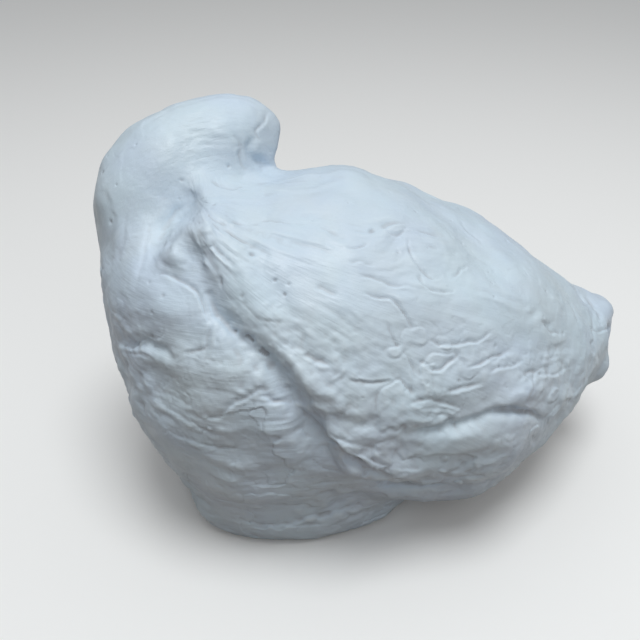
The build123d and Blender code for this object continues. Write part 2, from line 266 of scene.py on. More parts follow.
leftWing = {
    "thick": 4.0, "soft": 1.0, "brush": "fan",
    "folds": {
        "front valley": (10, 2.4, 0.0, [
            (208, 290), (221, 316), (241, 340), (262, 355), (284, 384), (298, 408)]),
        "shoulder filling": (8, -1.6, 0.0, [(200, 212), (206, 236), (212, 258), (216, 280)]),
        "valley bottom": (4, 1.0, 0.0, [(208, 290), (222, 320), (242, 340), (258, 352)]),
        "front ridge": (9, -0.5, 0.0, [(222, 238), (242, 276), (264, 312), (284, 338)]),
        "behind the ridge": (8, 0.6, 0.0, [(232, 214), (250, 248), (272, 284), (296, 322)]),
        "pit above": (3, 1.7, 0.2, [(244, 336), (252, 342)]),
        "pit below": (3.4, 2.0, 0.2, [(259, 347), (266, 355)]),
        "edge ridge": (8, -1.2, 0.0, [(276, 346), (296, 368), (318, 390), (348, 410)]),
        "lower groove": (8, 2.6, 0.0, [
            (290, 396), (300, 413), (315, 428), (324, 445), (342, 462), (372, 480),
            (424, 492), (470, 486)]),
        "lobe edge": (4, 1.2, 0.7, [
            (480, 484), (424, 486), (378, 474), (346, 456), (330, 440), (320, 424), (302, 410)]),
        "ridge over the lobe": (4, -0.8, 0.0, [(294, 404), (315, 407), (332, 411), (352, 413)]),
        "lobe": (8, -1.1, 0.0, [(338, 450), (360, 462), (392, 470), (430, 474), (470, 472)]),
        "above the lobe": (8, 1.2, 0.0, [(326, 420), (354, 424), (384, 428)]),
        "lobe wrinkle": (2.6, 0.5, 0.4, [(330, 430), (344, 442), (362, 446), (384, 456)]),
        "lobe wrinkle low": (2.6, 0.5, 0.4, [(342, 448), (360, 458), (388, 466), (420, 470)]),
        "under the wing": (6, 1.7, 0.6, [
            (548, 422), (536, 412), (512, 408), (487, 416), (467, 427), (446, 427),
            (424, 432), (402, 435)]),
        "shadow fold": (3.5, 1.1, 0.5, [(542, 420), (530, 410), (510, 408), (492, 412)]),
        "knob in the fold": (7, -1.0, 0.0, [(506, 402), (522, 394), (534, 388)]),
        "shoulder wrinkle": (2.2, 0.45, 0.2, [
            (222, 222), (240, 224), (255, 225), (265, 219), (280, 222), (292, 226)]),
        "cross wrinkle": (2.2, 0.55, 0.3, [(345, 247), (355, 250), (366, 244)]),
        "cross wrinkle low": (2.4, 0.45, 0.3, [(348, 262), (362, 260), (378, 266)]),
        "long wrinkle": (2.6, 0.9, 0.5, [
            (366, 292), (382, 296), (393, 302), (403, 312), (412, 330)]),
        "middle wrinkle": (2.6, 0.6, 0.4, [(360, 274), (378, 280), (394, 286), (414, 288)]),
        "upper hollow": (5, 0.7, 0.2, [(316, 286), (328, 290), (336, 298)]),
        "dark hollow": (5, 1.2, 0.5, [(303, 354), (315, 361), (331, 362)]),
        "steep wrinkle": (2.4, 0.5, 0.4, [(402, 354), (394, 338), (386, 322)]),
        "white ridge": (2.6, -0.6, 0.0, [(346, 368), (338, 376), (328, 382)]),
        "ridge crease": (2.6, 0.7, 0.5, [(390, 381), (377, 383), (364, 382), (350, 379)]),
        "v crease": (3.4, 0.9, 0.5, [(420, 360), (434, 370), (447, 366), (462, 352)]),
        "v crease high": (2.8, 0.7, 0.4, [
            (430, 339), (445, 347), (462, 345), (480, 337), (491, 332)]),
        "side crease": (3, 0.8, 0.5, [(450, 392), (466, 388), (482, 384)]),
        "rear crease": (3, 0.6, 0.4, [(470, 366), (492, 358), (514, 352)]),
        "rear crease low": (3, 0.6, 0.4, [
            (520, 380), (530, 372), (542, 375), (560, 372), (570, 366)]),
        "rear wrinkle": (2.6, 0.5, 0.4, [(408, 404), (424, 398), (444, 402), (462, 410)]),
        "rear wrinkle high": (2.6, 0.5, 0.3, [(396, 342), (408, 356), (414, 374), (410, 392)]),
        "rear strand": (2.8, 0.6, 0.4, [(492, 372), (506, 366), (522, 362)]),
    },
    "spots": {
        "ring": (374, 371, 6, 5, 0.7),
        "ring low": (416, 440, 7, 5, 0.7),
        "ring low back": (456, 440, 8, 6, 0.8),
        "lobe bump": (366, 434, 13, 9, 0.7),
        "wing bump": (530, 392, 13, 8, 0.8),
        "belly dent": (306, 434, 9, 12, -1.0),
        "dent by the ridge": (222, 284, 3, 5, -0.7),
        "dent behind it": (250, 255, 3, 2.5, -0.7),
        "pinhole high": (276, 281, 1.8, 1.8, -0.8),
        "pinhole low": (287, 295, 1.6, 1.6, -0.7),
    },
}
rightWing = {
    "thick": 4.0, "soft": 1.0, "brush": "fan",
    # its marks, loosely as on the near wing: wander and shift in pixels, reach in millimetres
    "likeNear": {"wander": (12.0, -8.4), "shift": (6, 5), "reach": 30.0, "seed": 61},
}
backCoat = {
    "thick": 4.0, "soft": 1.0, "brush": "fan",
    "folds": {
        "loop wrinkle": (2.4, 0.6, 0.3, [
            (407, 240), (412, 258), (420, 272), (432, 278), (441, 275)]),
        "v wrinkle": (2.4, 0.6, 0.4, [(417, 275), (427, 287), (442, 292), (453, 290)]),
        "short wrinkle": (2.2, 0.5, 0.3, [(452, 277), (462, 270), (470, 265)]),
        "blob edge": (2.2, 0.5, 0.2, [(382, 226), (387, 234), (397, 236), (406, 229)]),
        "ridge line": (2.6, 0.4, 0.2, [(456, 216), (470, 232), (484, 246)]),
    },
    "spots": {
        "blob": (395, 226, 9, 8, 0.6),
        "pit by the blob": (372, 231, 3, 3, -0.6),
        "top bump": (345, 178, 18, 7, 0.9),
        "hind bump": (440, 203, 16, 8, 0.6),
        "hollow on the back": (392, 190, 18, 7, -0.5),
        "crater": (533, 314, 6, 5, -0.7),
        "crater low": (549, 326, 7, 4.5, -0.8),
        "crater rim": (528, 308, 3, 2.5, 0.3),
    },
}
tailTip = {
    "thick": 3.0, "soft": 0.5, "brush": "fan",
    "folds": {
        "tail crease": (3, 0.6, 0.4, [(544, 322), (550, 331), (560, 333)]),
        "tail crease high": (3, 0.5, 0.3, [(562, 296), (572, 306), (578, 322)]),
        "down the tail": (3, 0.6, 0.4, [(582, 300), (593, 314), (592, 340), (599, 360)]),
    },
    "spots": {"rear bump": (580, 352, 12, 12, 0.7)},
    "dents": {
        "under the upper nub": ((127.5, -15.5, 58.8), 4.4, 4.2),
        "before the upper nub": ((116.5, -7.4, 73.0), 4.4, 2.2),
    },
}
upperNub = {
    "thick": 1.0, "soft": 0.1, "brush": "fan",
    "folds": {
        "nub notch": (3, 1.0, 0.3, [(586, 297), (594, 308), (601, 320)]),
        "nub fold": (3, 0.8, 0.3, [(592, 328), (603, 331), (611, 328)]),
    },
    "dents": {"knob": ((130.0, -6.5, 65.5), 6.0, -1.9)},
}
lowerNub = {"thick": 1.5, "soft": 0.1, "brush": "fan"}
neckCoat = {
    "thick": 4.0, "soft": 1.0, "brush": "round",
    "folds": {
        "shoulder trough": (8, 2.2, 0.0, [
            (146, 276), (152, 252), (162, 230), (173, 212), (184, 200), (192, 190)]),
        "trough bottom": (4, 0.7, 0.0, [(180, 206), (174, 214), (167, 226), (158, 244)]),
        "shoulder crest": (11, -3.0, 0.0, [(200, 226), (188, 246), (175, 268)]),
        "fold at the back": (5, 0.4, 0.2, [
            (101, 292), (110, 262), (113, 232), (110, 210), (103, 190)]),
        "strip end": (4, 0.3, 0.1, [(116, 262), (121, 238), (128, 214)]),
        "neck strand": (4, 0.3, 0.1, [(136, 292), (142, 262), (150, 232), (158, 206)]),
    },
    "dents": {"corner over the trough": ((-33.0, -13.5, 131.0), 9.0, 1.6)},
}
headCoat = {
    "thick": 3.5, "soft": 0.8, "brush": "round",
    "folds": {
        "under the head": (2.4, 0.6, 0.3, [(210, 182), (220, 186), (230, 189), (243, 187)]),
        "below the bill": (6, 1.6, 0.3, [(268, 168), (260, 160), (250, 152), (255, 137)]),
        "facet": (4, 0.6, 0.3, [(232, 134), (242, 147), (239, 160), (246, 172)]),
    },
    "spots": {
        "cheek": (232, 124, 24, 16, 0.6),
        "thumb dent": (198, 136, 18, 12, -0.5),
    },
    "dents": {
        "below the bill": ((-3.4, 34.0, 127.0), 7.5, 11.0),
        "throat": ((-5.0, 30.0, 125.0), 6.0, 2.4),
    },
}
bill = {
    "thick": 2.5, "soft": 0.3, "brush": "round",
    "folds": {"tip crease": (3, 0.6, 0.1, [(262, 140), (254, 131), (264, 122), (267, 114)])},
    "dents": {"tip": ((-2.0, 31.0, 140.5), 6.5, -1.3)},
}
skinPieces = {
    "foot_pad": footPad,
    "breast_coat": breastCoat,
    "back_coat": backCoat,
    "belly_coat": bellyCoat,
    "left_wing": leftWing,
    "right_wing": rightWing,
    "tail_tip": tailTip,
    "tail_nub_upper": upperNub,
    "tail_nub_lower": lowerNub,
    "neck_coat": neckCoat,
    "head_coat": headCoat,
    "bill": bill,
}

# how the skin as a whole is taken from the solids, with sizes in millimetres
firstSkin = {
    "below": ["body_bandage", "neck_bandage", "body_core", "neck_core"],
    "cell": 2.15,        # first cells, each split in four twice
    "closeGaps": 0.35,   # seams and play between layers that the plaster fills
    "labelRounds": 6,    # tidying of which piece a cell is on
    "evening": {"rounds": 5, "in": 0.5, "out": 0.52},
    "rounding": {"rounds": 5, "share": 0.5},               # of rims that stand out
    "fillet": {"rounds": 9, "share": 0.7, "least": 0.35},  # in hollows where two lumps meet
    # the same where the foot runs into the breast: heights and places that it fades over
    "foot": {"rounds": 70, "share": 0.8, "rise": (8, 16), "fall": (62, 48), "back": (10, -20),
             "least": 0.3},
    # the same where the near wing begins, and evening where trough, wing and neck meet
    "shoulder": {"rounds": 26, "share": 0.8, "place": (-33.0, -20.0, 122.0), "reach": 15.0},
    "knot": {"rounds": 16, "share": 0.6, "place": (-32.0, -9.0, 130.5), "reach": 9.0},
    "cuts": {"rounds": 4, "share": 0.5},                   # between the pieces
}


def newObject(name, data):
    made = bpy.data.objects.new(name, data)
    bpy.context.scene.collection.objects.link(made)
    return made


def joinedSolids():
    joined = bmesh.new()
    for name in list(skinPieces) + firstSkin["below"]:
        joined.from_mesh(nodes[name].data)
    bmesh.ops.remove_doubles(joined, verts=joined.verts, dist=1e-6)
    joined.normal_update()
    for vert in joined.verts:
        vert.co += vert.normal * firstSkin["closeGaps"] * mm
    mesh = bpy.data.meshes.new("firstSkin")
    joined.to_mesh(mesh)
    joined.free()
    block = newObject("firstSkin", mesh)
    remesh = block.modifiers.new("even", "REMESH")
    remesh.mode = "VOXEL"
    remesh.voxel_size = firstSkin["cell"] * mm
    evened = block.evaluated_get(bpy.context.evaluated_depsgraph_get())
    shape = bpy.data.meshes.new_from_object(evened)
    bpy.data.objects.remove(block)
    points = np.zeros(len(shape.vertices) * 3)
    shape.vertices.foreach_get("co", points)
    corners = np.zeros(len(shape.loops), int)
    shape.loops.foreach_get("vertex_index", corners)
    return outerShell(points.reshape(-1, 3), corners.reshape(-1, 4))


def outerShell(points, faces):  # the largest of the separate surfaces
    edges, _ = edgesOf(faces)
    group = np.arange(len(points))
    while True:
        low = np.minimum(group[edges[:, 0]], group[edges[:, 1]])
        after = group.copy()
        np.minimum.at(after, edges[:, 0], low)
        np.minimum.at(after, edges[:, 1], low)
        after = after[after]
        if (after == group).all():
            break
        group = after
    kept = np.flatnonzero(group == np.bincount(group).argmax())
    renumber = np.full(len(points), -1)
    renumber[kept] = np.arange(len(kept))
    faces = renumber[faces]
    return points[kept], faces[(faces >= 0).all(axis=1)]


def nearestPiece(centres):  # number of the CAD piece that each face lies on
    corners, polygons, owner = [], [], []
    for number, name in enumerate(skinPieces):
        mesh = nodes[name].data
        start = len(corners)
        corners += [tuple(vert.co) for vert in mesh.vertices]
        for polygon in mesh.polygons:
            polygons.append([start + index for index in polygon.vertices])
            owner.append(number)
    tree = BVHTree.FromPolygons(corners, polygons)
    return np.array([owner[tree.find_nearest(Vector(centre))[2]] for centre in centres])


def tidyLabels(labels, faces):  # each face takes the piece that most of its neighbours have
    edges, number = edgesOf(faces)
    for _ in range(firstSkin["labelRounds"]):
        votes = np.zeros((len(edges), len(skinPieces)))
        np.add.at(votes, number.ravel(), np.eye(len(skinPieces))[np.repeat(labels, 4)])
        labels = votes[number].sum(axis=1).argmax(axis=1)
    return labels


def filled(points, faces, edges, strength):  # hollows come out a little, and nothing else moves
    normals = pointNormals(points, faces)
    out = (pull(points, edges, len(points)) * normals).sum(axis=1, keepdims=True)
    return points + normals * np.maximum(out, 0) * strength


def shapedSkin(points, faces, labels):
    edges, _ = edgesOf(faces)
    size = len(points)
    soft = np.array([piece["soft"] for piece in skinPieces.values()])
    share = pointShare(soft[labels], faces, size)[:, None]
    points = points - pointNormals(points, faces) * firstSkin["closeGaps"] * mm
    evening, rounding, fillet = (firstSkin[name] for name in ("evening", "rounding", "fillet"))
    foot, shoulder, knot = (firstSkin[name] for name in ("foot", "shoulder", "knot"))
    for _ in range(evening["rounds"]):
        points = points + pull(points, edges, size) * evening["in"]
        points = points - pull(points, edges, size) * evening["out"]
    for _ in range(rounding["rounds"]):
        points = points + pull(points, edges, size) * rounding["share"] * share
    strength = fillet["share"] * (fillet["least"] + (1 - fillet["least"]) * share)
    for _ in range(fillet["rounds"]):
        points = filled(points, faces, edges, strength)
    x, _, z = (points / mm).T
    low = ease(*foot["rise"], z) * ease(*foot["fall"], z)
    low *= foot["least"] + (1 - foot["least"]) * ease(*foot["back"], x)
    for _ in range(foot["rounds"]):
        points = filled(points, faces, edges, foot["share"] * low[:, None])
    near = nearTo(points, shoulder["place"], shoulder["reach"])[:, None]
    for _ in range(shoulder["rounds"]):
        points = filled(points, faces, edges, shoulder["share"] * near)
    near = nearTo(points, knot["place"], knot["reach"])[:, None]
    for _ in range(knot["rounds"]):
        points = points + pull(points, edges, size) * knot["share"] * near
    return points


def smoothCuts(points, faces, labels):  # the cuts between pieces run in easy lines
    edges, number = edgesOf(faces)
    low = np.full(len(edges), len(skinPieces))
    high = np.full(len(edges), -1)
    np.minimum.at(low, number.ravel(), np.repeat(labels, 4))
    np.maximum.at(high, number.ravel(), np.repeat(labels, 4))
    cuts = edges[low != high]
    touched = np.bincount(cuts.ravel(), minlength=len(points)) == 2
    for _ in range(firstSkin["cuts"]["rounds"]):
        way = pull(points, cuts, len(points)) * touched[:, None]
        normal = pointNormals(points, faces)
        way -= normal * (way * normal).sum(axis=1, keepdims=True)
        points = points + way * firstSkin["cuts"]["share"]
    return points


# least facing that is looked at, where the ray starts in millimetres, and where facing counts
sight = {"least": 0.02, "start": 0.6, "counts": (0.03, 0.30)}


def seenFrom(points, normals, place, tree):  # how far points face a place, nothing between
    away = np.array(place) - points
    facing = (unit(away) * normals).sum(axis=1)
    clear = np.ones(len(points))
    for number in np.flatnonzero(facing > sight["least"]):
        start = Vector(points[number] + normals[number] * sight["start"] * mm)
        clear[number] = 0 if tree.ray_cast(start, Vector(away[number]))[0] else 1
    return ease(*sight["counts"], facing) * clear


def shareOf(labels, faces, size, brush):  # how far points are on pieces brushed in one way
    on = np.array([piece["brush"] == brush for piece in skinPieces.values()], float)
    return pointShare(on[labels], faces, size)


def bent(line, rounds=3):  # rounds the corners of a drawn line
    line = np.array(line, float)
    for _ in range(rounds):
        if len(line) < 3:
            break
        near = line[:-1] * 0.75 + line[1:] * 0.25
        far = line[:-1] * 0.25 + line[1:] * 0.75
        inner = np.stack([near, far], axis=1).reshape(-1, 2)
        line = np.concatenate([line[:1], inner[1:-1], line[-1:]])
    return line


# how marks are pressed, with sizes in half widths of a mark
press = {
    "broadFrom": 6,      # pixels of half width from which a mark goes in with the broad ones
    "narrow": 0.75,      # how far the others are pressed
    "steep": 2.0,        # on the side of the lip
    "easy": 1.0,         # on the other side
    "lip": 0.4, "lipAt": 1.0, "lipWide": 0.55,
    "reach": 4,
    "taper": 0.25,       # share of a mark's length over which its end fades
    "end": 0.15,         # what is left at the end
    "spotEdge": 1.2,
    "dentEdge": 1.5,
    "wander": ((5.5, 1.7, (65, 66)), (2.2, 0.7, (67, 68))),  # reach, pixels, seeds
}


def foldHeight(places, fold):
    width, depth, lip, line = fold
    line = bent(line)
    margin = press["reach"] * width
    inBox = (places > line.min(axis=0) - margin) & (places < line.max(axis=0) + margin)
    near = np.flatnonzero(inBox.all(axis=1))
    spot = places[near]
    best = np.full(len(near), np.inf)
    side, along = np.zeros(len(near)), np.zeros(len(near))
    steps = np.linalg.norm(np.diff(line, axis=0), axis=1)
    done, total = 0, steps.sum()
    for start, end, step in zip(line[:-1], line[1:], steps):
        way = (end - start) / max(step, 1e-9)
        offset = spot - start
        part = np.clip(offset @ way, 0, step)
        gap = np.linalg.norm(offset - part[:, None] * way, axis=1)
        closer = gap < best
        best[closer] = gap[closer]
        side[closer] = np.sign(way[0] * offset[closer, 1] - way[1] * offset[closer, 0])
        along[closer] = (done + part[closer]) / total
        done += step
    taper = np.sqrt(np.clip(np.minimum(along, 1 - along) / press["taper"], 0, 1))
    taper = press["end"] + (1 - press["end"]) * taper
    away = best / width
    slope = np.where(side > 0, press["steep"], press["easy"]) if lip else 1.0
    height = -depth * np.exp(-(away * slope) ** 2)
    lipAway = (side * away - press["lipAt"]) / press["lipWide"]
    return near, (height + press["lip"] * lip * np.exp(-lipAway ** 2)) * taper


def photoHeights(places, broad):
    across, down = places.T
    height = np.zeros(len(places))
    for piece in skinPieces.values():
        for fold in piece.get("folds", {}).values():
            if (fold[0] >= press["broadFrom"]) == broad:
                near, rise = foldHeight(places, fold)
                height[near] += rise if broad else rise * press["narrow"]
        for u, v, wide, tall, rise in piece.get("spots", {}).values():
            if (wide >= press["broadFrom"]) == broad:
                away = ((across - u) / wide) ** 2 + ((down - v) / tall) ** 2
                height += rise * np.exp(-away * press["spotEdge"])
    return height


def pressedMarks(points, values, broad):  # marks of the near side, and their like on the far one
    astray = sum(warp(points, reach, seeds) * most for reach, most, seeds in press["wander"])
    near = photoHeights(np.transpose(photoPlace(points)) + astray, broad)
    like = rightWing["likeNear"]
    astray = astray + warp(points, like["reach"], [like["seed"]]) * like["wander"] + like["shift"]
    mirrored = photoPlace(points * np.array([1, -1, 1]))
    far = photoHeights(np.transpose(mirrored) + astray, broad)
    seenNear, seenFar, onNeck = values[:, 0], values[:, 1], values[:, 3]
    return near * seenNear + far * seenFar * (1 - seenNear) * (1 - onNeck)


def dentHeights(points):
    height = np.zeros(len(points))
    for piece in skinPieces.values():
        for place, reach, depth in piece.get("dents", {}).values():
            height -= depth * nearTo(points, place, reach, press["dentEdge"])
    return height


# the ways that hand and brush went: fan out of the wing's shoulder, round the neck, and level
# round the body; each line of strokes is their spacing, length and height in millimetres
brushes = {
    "fan": {"from": (198, 200), "open": 90.0, "least": 20, "bend": 0.35, "deep": 0.03,
            "lines": ((2.2, 24.0, 0.28), (1.2, 15.0, 0.20))},
    "round": {"bend": (-14.0, 94.0), "turn": 34, "lines": ((2.8, 30.0, 0.16), (1.4, 18.0, 0.10))},
    "level": {"middle": -20.0, "turn": 52, "lines": ((2.6, 7.5, 0.20), (1.3, 5.0, 0.11))},
}
strokes = {
    "drift": (17, (21, 22, 23)), "most": (2.2, 2.2, 5.0),    # how strokes stray: reach, seeds, most
    "patch": (14, 24), "mean": 0.55,                         # where they are strong: reach, seed
    "seed": 31,
}


def brushPlaces(points, kind):  # two places across the strokes and one along them, millimetres
    x, y, z = (points / mm).T
    brush = brushes[kind]
    if kind == "fan":
        across, down = nearSidePlace(points)
        right, below = across - brush["from"][0], down - brush["from"][1]
        far = np.hypot(right, below)
        spread = (np.maximum(far, brush["least"]) / brush["open"]) ** brush["bend"]
        around = np.arctan2(below, right) * brush["open"] * spread
        pixel = photoCamera["pixel"]
        return np.stack([around * pixel, y * brush["deep"], far * pixel], axis=1)
    if kind == "round":
        right, above = x - brush["bend"][0], z - brush["bend"][1]
        turned = np.arctan2(right, above) * brush["turn"]
        return np.stack([np.hypot(right, above), y, turned], axis=1)
    turned = np.arctan2(y, x - brush["middle"]) * brush["turn"]
    return np.stack([z, np.zeros(len(z)), turned], axis=1)


def strokeHeights(points, shares):
    height = np.zeros(len(points))
    drift = warp(points, *strokes["drift"]) * strokes["most"]
    for number, (kind, brush) in enumerate(brushes.items()):
        places = brushPlaces(points, kind) + drift
        for line, (spacing, length, rise) in enumerate(brush["lines"]):
            seed = strokes["seed"] + 10 * number + line
            layer = softNoise(places / np.array([spacing, spacing, length]), seed)
            height += layer * rise * shares[:, number]
    mean = strokes["mean"]
    return height * (mean + (1 - mean) * patches(points, *strokes["patch"]))


# the back, the neck, the head and the tail were smoothed over, the low parts less; the border is
# a level in the photograph, in pixels, that falls towards the tail
rough = {"level": 325, "slope": 0.35, "from": 430, "edge": 45, "least": 0.22, "floor": (-4, 6)}
# lumps left by palm, thumb and grains, and edges of plaster layers: size and height, millimetres
lumps = {
    "broad": {"flank": (28.0, 1.0), "palm": (13.0, 0.75)},
    "fine": {"thumb": (5.5, 0.20), "crumb": (2.4, 0.08), "sand": (1.1, 0.03)},
    "apart": 7.3, "seed": {"broad": 45, "fine": 44},
    "least": 0.35, "most": 1.3,                              # with the roughness
    "patch": 24, "patchSeed": 50, "patchEdge": (-0.2, 0.6), "patchLeast": 0.5,
}
layers = {
    "sizes": {"wide": (17.0, 0.38), "middle": (10.0, 0.26), "narrow": (6.5, 0.15)},
    "fan": (1.0, 12.0, 0.42), "body": (0.6, 0.6, 1.0),       # how the layers stretch
    "warps": ((9, 4.0, (71, 72, 73)), (3.4, 1.2, (74, 75, 76))),
    "patch": 19, "patchSeed": 80, "patchEdge": (-0.35, 0.45), "seed": 84,
    "edge": 0.05, "groove": 0.45, "grooveAt": -0.06, "grooveWide": 0.06,
}
pits = {"number": 260, "radius": (0.35, 1.0), "depth": (0.15, 0.55), "edge": 1.6, "reach": 2,
        "seed": 8}


def roughShare(points):
    across, down = nearSidePlace(points)
    level = rough["level"] + rough["slope"] * np.maximum(across - rough["from"], 0)
    share = ease(-rough["edge"], rough["edge"], down - level)
    share = rough["least"] + (1 - rough["least"]) * share
    return share * ease(*rough["floor"], points[:, 2] / mm)


def lumpHeights(points, which, roughness):
    height = np.zeros(len(points))
    for number, (size, rise) in enumerate(lumps[which].values()):
        places = points / (size * mm) + number * lumps["apart"]
        layer = softNoise(places, lumps["seed"][which] + number)
        if which == "fine":
            patch = patches(points, lumps["patch"], lumps["patchSeed"] + number)
            layer *= lumps["least"] + lumps["most"] * roughness
            layer *= lumps["patchLeast"] + ease(*lumps["patchEdge"], patch)
        height += layer * rise
    return height


def layerHeights(points, values, roughness):  # low steps, where licks of plaster end on others
    on = np.clip(values[:, 2], 0, 1)
    fan, body = brushPlaces(points, "fan") * layers["fan"], points / mm * layers["body"]
    bend = sum(warp(points, reach, seeds) * most for reach, most, seeds in layers["warps"])
    height = np.zeros(len(points))
    for number, (size, rise) in enumerate(layers["sizes"].values()):
        patch = patches(points, layers["patch"], layers["patchSeed"] + number)
        shown = rise * ease(*layers["patchEdge"], patch)
        for share, places in ((on, fan), (1 - on, body)):
            level = softNoise((places + bend) / size, layers["seed"] + number)
            away = (level - layers["grooveAt"]) / layers["grooveWide"]
            step = ease(-layers["edge"], layers["edge"], level) - 0.5
            height += (step - layers["groove"] * np.exp(-away ** 2)) * shown * share
    return height * roughness


def pitHeights(points):
    tree = KDTree(len(points))
    for number, point in enumerate(points):
        tree.insert(point, number)
    tree.balance()
    height = np.zeros(len(points))
    chance = np.random.default_rng(pits["seed"])
    for centre in points[chance.choice(len(points), pits["number"], replace=False)]:
        radius = chance.uniform(*pits["radius"])
        depth = chance.uniform(*pits["depth"])
        for _, number, gap in tree.find_range(centre, radius * pits["reach"] * mm):
            fade = np.exp(-(gap / mm / radius) ** 2 * pits["edge"])
            height[number] = min(height[number], -depth * fade)
    return height


# how the foot meets the floor and how the skin ends up, with sizes in millimetres
rest = {
    "marksFrom": (0.4, 2.5),      # height over which the broad marks come in
    "rimReach": 7.0, "rimLift": 2.0, "rimFacing": (-0.9, -0.5), "rimRounds": 8,
    "flatBelow": (1.0, 0.3), "flatFacing": (-0.5, -0.9), "flatAt": 0.3,
    "marked": 0.1,                # share of the marks that the resting face keeps
    "within": 0.5,                # how softly the skin stops at the box of the solids
    "innerAbove": 0.6,            # lowest place of the inner faces
    "seenRounds": 3, "evenRounds": 2, "evenShare": 0.5,
    # evening and depth of the crease measure, which paints shade in the creases and highlight on
    # the ridges
    "hollowRounds": 30, "hollowDeep": 0.55,
}


def heldWithin(points):  # eased to a stop just inside the box of the solids
    soft = rest["within"] * mm
    low, high = np.array(cadLow) + soft, np.array(cadHigh) - soft
    low[2] = -np.inf     # the resting face is set apart from this
    over, under = np.maximum(points - high, 0), np.maximum(low - points, 0)
    points = np.where(over > 0, high + soft * (1 - np.exp(-over / soft)), points)
    return np.where(under > 0, low - soft * (1 - np.exp(-under / soft)), points)


points, faces = joinedSolids()
print("first skin,", len(faces), "faces")
labels = tidyLabels(nearestPiece(points[faces].mean(axis=1)), faces)
points = shapedSkin(points, faces, labels)
points = smoothCuts(points, faces, labels)
normals = pointNormals(points, faces)
edges, _ = edgesOf(faces)
tree = BVHTree.FromPolygons(points.tolist(), faces.tolist())
nearEye = photoCamera["place"]
farEye = (nearEye[0], -nearEye[1], nearEye[2])
seen = [seenFrom(points, normals, eye, tree) for eye in (nearEye, farEye)]
brushed = [shareOf(labels, faces, len(points), kind) for kind in brushes]
values = blurred(np.stack(seen + brushed, axis=1), edges, rest["seenRounds"])
firstPoints, firstFaces = points, faces
print("skin shaped and seen")

points, faces, values, firstEdges = split(points, faces, values)
height = pressedMarks(points, values, True) + dentHeights(points)
height += lumpHeights(points, "broad", 1)
height *= ease(*rest["marksFrom"], points[:, 2] / mm)
normals = pointNormals(points, faces)
points = points + normals * height[:, None] * mm
middleEdges, _ = edgesOf(faces)
upright = ease(*rest["rimFacing"], normals[:, 2])[:, None]
upright = blurred(upright, middleEdges, rest["rimRounds"])[:, 0]
lift = np.clip(1 - points[:, 2] / (rest["rimReach"] * mm), 0, 1) ** 2
points[:, 2] += rest["rimLift"] * mm * upright * lift
for _ in range(rest["evenRounds"]):
    for way in (1, -1):
        points = points + way * pull(points, middleEdges, len(points)) * rest["evenShare"]
middleCount = len(points)
points, faces, values, _ = split(points, faces, values)
normals = pointNormals(points, faces)
print("skin split,", len(faces), "faces")

roughness = roughShare(points)
height = pressedMarks(points, values, False) + strokeHeights(points, values[:, 2:5])
height += lumpHeights(points, "fine", roughness) + layerHeights(points, values, roughness)
height += pitHeights(points)
resting = ease(*rest["flatBelow"], points[:, 2] / mm) * ease(*rest["flatFacing"], normals[:, 2])
height *= 1 - (1 - rest["marked"]) * resting
fineEdges, _ = edgesOf(faces)
# how far each point lies below the evened skin, above it where negative; the finish paints shade in
# the creases and highlight on the ridges with it
even = blurred(height[:, None], fineEdges, rest["hollowRounds"])[:, 0]
hollow = np.clip((even - height) / rest["hollowDeep"], -1, 1)
brushAt = {kind: brushPlaces(points, kind) for kind in brushes}
points = heldWithin(points + normals * height[:, None] * mm)
flat = np.minimum(points[:, 2], (rest["flatAt"] + height * rest["marked"]) * mm)
points[:, 2] = np.maximum(np.where(resting > 0.5, flat, points[:, 2]), cadLow[2])
normals = pointNormals(points, faces)
firstNormals = pointNormals(firstPoints, firstFaces)
print("marks, strokes and pits made")

edgeKeys = [found[:, 0] * keyStep + found[:, 1] for found in (firstEdges, middleEdges)]


def edgeNumber(level, start, end, size):
    key = min(start, end) * keyStep + max(start, end)
    return int(np.searchsorted(edgeKeys[level], key)) + size


def wallFaces(coarse, place, insidePlace):  # from the rim of the outer face to the inner one
    pairs = np.stack([coarse, np.roll(coarse, -1, axis=1)], axis=2).reshape(-1, 2)
    back = set(map(tuple, pairs[:, ::-1].tolist()))
    wall = []
    for start, end in pairs.tolist():
        if (start, end) in back:
            continue
        middle = edgeNumber(0, start, end, len(firstPoints))
        before = edgeNumber(1, start, middle, middleCount)
        after = edgeNumber(1, middle, end, middleCount)
        a, b, c, d, e = (int(place[index]) for index in (start, before, middle, after, end))
        lowA, lowE = int(insidePlace[start]), int(insidePlace[end])
        wall += [(b, a, lowA), (c, b, lowA), (c, lowA, lowE), (d, c, lowE), (e, d, lowE)]
    return wall


def keepValues(mesh, name, kind, key, values):
    attribute = mesh.attributes.new(name, kind, "POINT")
    attribute.data.foreach_set(key, np.asarray(values, np.float32).ravel())


